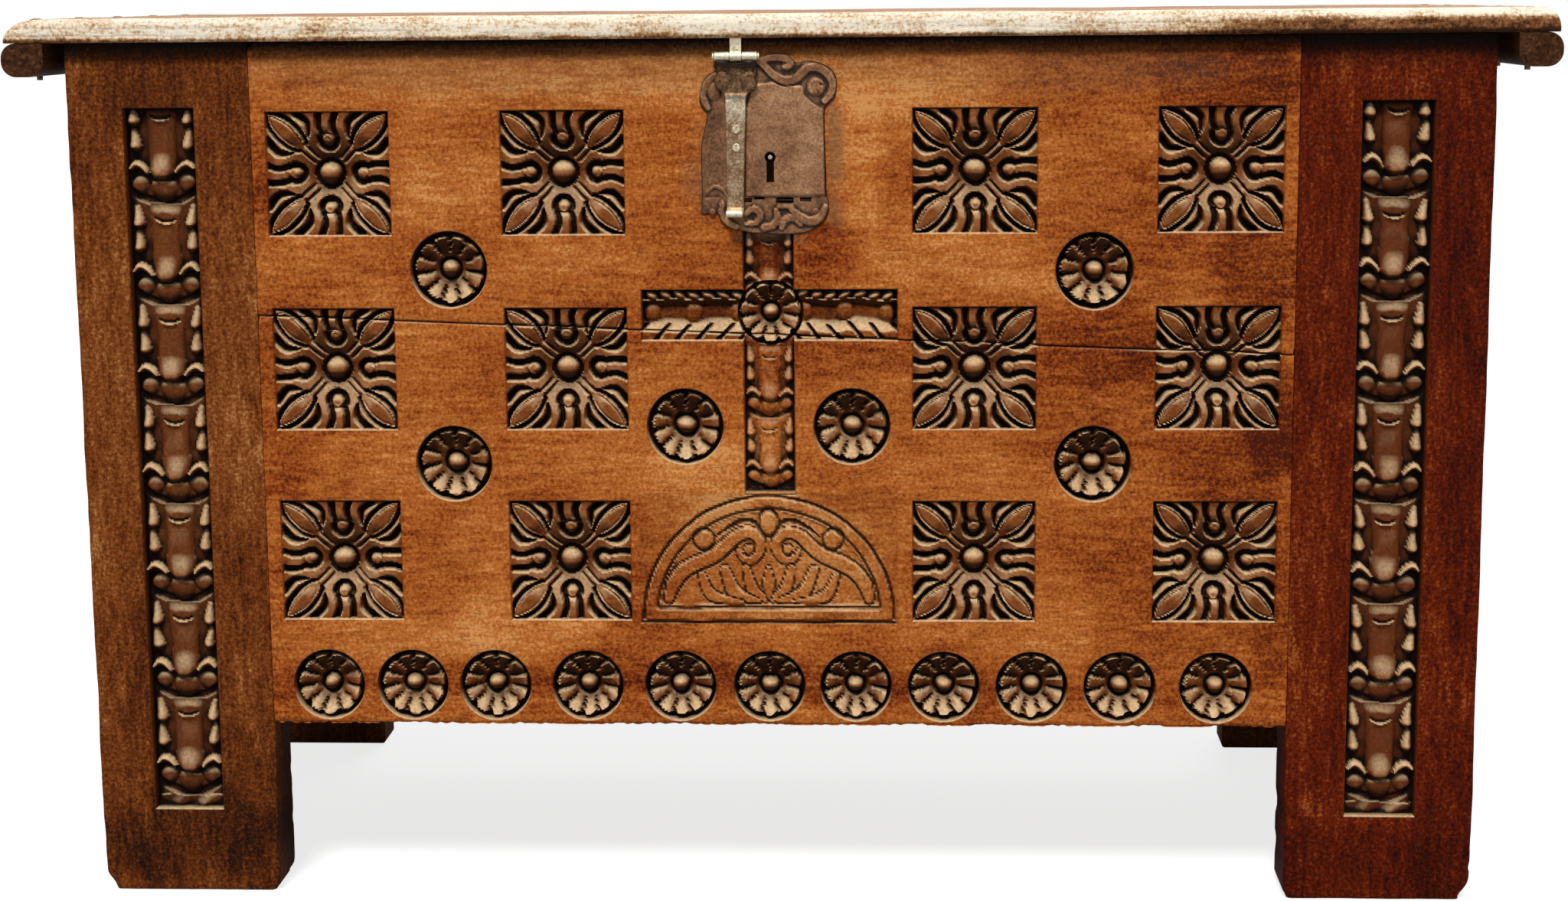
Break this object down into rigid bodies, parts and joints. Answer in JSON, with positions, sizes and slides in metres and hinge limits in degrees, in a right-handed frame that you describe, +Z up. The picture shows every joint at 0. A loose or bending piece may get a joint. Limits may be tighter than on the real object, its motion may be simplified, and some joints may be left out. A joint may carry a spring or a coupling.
{
  "type": "coffer chest",
  "caption": "Carved oak plank chest on stile feet, with a hinged lid, an iron lock plate with a keyhole, and a hasp that drops over the lock.",
  "frame": {"origin": "on the floor, under the middle of the lid", "axes": "+Z up, +X along the chest's length to the viewer's right, the front faces -Y"},
  "size_m": [1.518, 0.653, 0.895],
  "materials": {
    "waxed_oak": "waxed, worn",
    "dark_oak": "waxed, dark",
    "oak": "satin, aged",
    "lid_oak": "worn, weathered edge",
    "inner_oak": "raw, dry",
    "wrought_iron": "hand forged, brown patina",
    "worn_iron": "hand forged, rubbed bright"
  },
  "bodies": {
    "case": {"front_stile_left": "dark_oak", "front_stile_right": "dark_oak", "rear_stile_left": "dark_oak", "rear_stile_right": "dark_oak", "front_board_upper": "waxed_oak", "front_board_lower": "waxed_oak", "rear_board_upper": "oak", "rear_board_lower": "oak", "end_board_left_upper": "oak", "end_board_left_lower": "oak", "end_board_right_upper": "oak", "end_board_right_lower": "oak", "floor_board_1": "inner_oak", "floor_board_2": "inner_oak", "floor_board_3": "inner_oak", "floor_board_4": "inner_oak", "floor_board_5": "inner_oak", "floor_board_6": "inner_oak", "floor_board_7": "inner_oak", "floor_ledger_front": "inner_oak", "floor_ledger_rear": "inner_oak", "floor_ledger_left": "inner_oak", "floor_ledger_right": "inner_oak", "ledger_nails": "wrought_iron", "front_joint_pegs": "oak", "rear_joint_pegs": "oak", "end_joint_pegs": "oak", "lock_plate": "wrought_iron", "lock_plate_nails": "wrought_iron", "lock_case": "wrought_iron", "drill_pin": "worn_iron", "bolt_guides": "wrought_iron", "bolt_spring": "wrought_iron", "hinge_leaf_left": "wrought_iron", "hinge_leaf_right": "wrought_iron", "hinge_pin_left": "wrought_iron", "hinge_pin_right": "wrought_iron", "hinge_leaf_nails": "wrought_iron"},
    "lid": {"lid_board_front": "lid_oak", "lid_board_rear": "lid_oak", "lid_cleat_left": "lid_oak", "lid_cleat_right": "lid_oak", "cleat_nails_left": "wrought_iron", "cleat_nails_right": "wrought_iron", "hinge_strap_left": "wrought_iron", "hinge_strap_right": "wrought_iron", "hinge_strap_nails": "wrought_iron", "hasp_hinge_strap": "worn_iron", "hasp_hinge_nails": "wrought_iron", "hasp_pin": "worn_iron"},
    "hasp": {"hasp_bar": "worn_iron", "hasp_staple": "worn_iron"},
    "bolt": {"lock_bolt": "worn_iron"}
  },
  "joints": [
    {"name": "lid_hinge", "type": "hinge", "parent": "case", "child": "lid", "pos_m": [0, 0.311, 0.871], "axis": [-1, 0, 0], "range_deg": [0, 105]},
    {"name": "hasp_hinge", "type": "hinge", "parent": "lid", "child": "hasp", "pos_m": [-0.035, -0.3115, 0.8535], "axis": [-1, 0, 0], "range_deg": [0, 115]},
    {"name": "bolt_slide", "type": "slide", "parent": "case", "child": "bolt", "axis": [-1, 0, 0], "range_m": [0, 0.016]}
  ]
}
